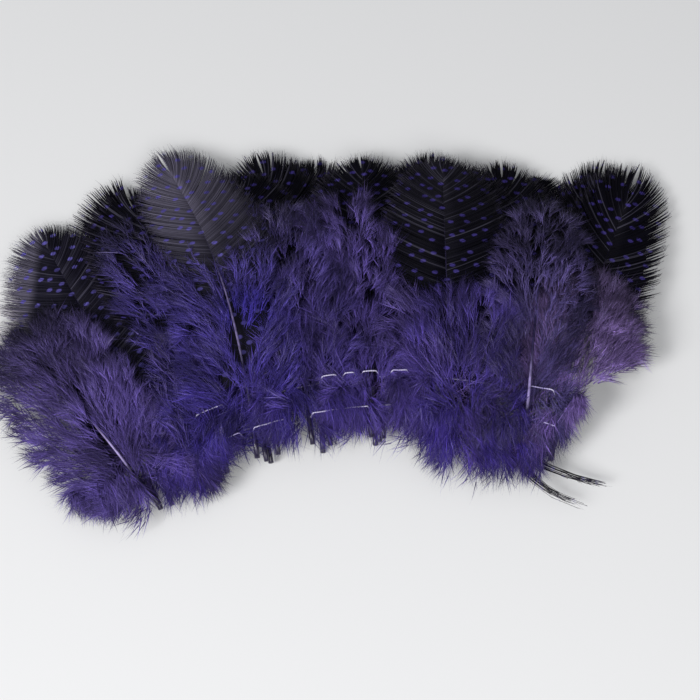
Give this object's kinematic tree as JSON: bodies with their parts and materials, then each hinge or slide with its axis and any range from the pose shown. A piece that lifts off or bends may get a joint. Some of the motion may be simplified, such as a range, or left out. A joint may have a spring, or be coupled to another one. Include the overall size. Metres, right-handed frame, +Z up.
{
  "type": "strung guinea fowl feather strip",
  "caption": "Curved strip of purple-dyed guinea fowl body feathers, downy at the base and spotted at the tips, strung side by side on sewing thread; lies flat as craft trim.",
  "frame": {"origin": "middle of the strip's bounding box, on the surface it lies on", "axes": "+X along the strip to the right, +Y from the quills to the tips, +Z up"},
  "size_m": [0.1946, 0.1248, 0.0198],
  "materials": {
    "feather": "matte, downy",
    "thread": "matte twisted thread"
  },
  "bodies": {
    "root": {"feather_bottom_1": "feather", "feather_bottom_2": "feather", "feather_bottom_3": "feather", "feather_bottom_4": "feather", "feather_bottom_5": "feather", "feather_bottom_6": "feather", "feather_bottom_7": "feather", "feather_bottom_8": "feather", "feather_lower_1": "feather", "feather_lower_2": "feather", "feather_lower_3": "feather", "feather_lower_4": "feather", "feather_lower_5": "feather", "feather_lower_6": "feather", "feather_lower_7": "feather", "feather_lower_8": "feather", "feather_middle_1": "feather", "feather_middle_2": "feather", "feather_middle_3": "feather", "feather_middle_4": "feather", "feather_middle_5": "feather", "feather_middle_6": "feather", "feather_middle_7": "feather", "feather_middle_8": "feather", "feather_top_1": "feather", "feather_top_2": "feather", "feather_top_3": "feather", "feather_top_4": "feather", "feather_top_5": "feather", "feather_top_6": "feather", "feather_top_7": "feather", "feather_top_8": "feather", "feather_top_9": "feather", "feather_turned": "feather", "thread_lower": "thread", "thread_upper": "thread"}
  },
  "joints": []
}
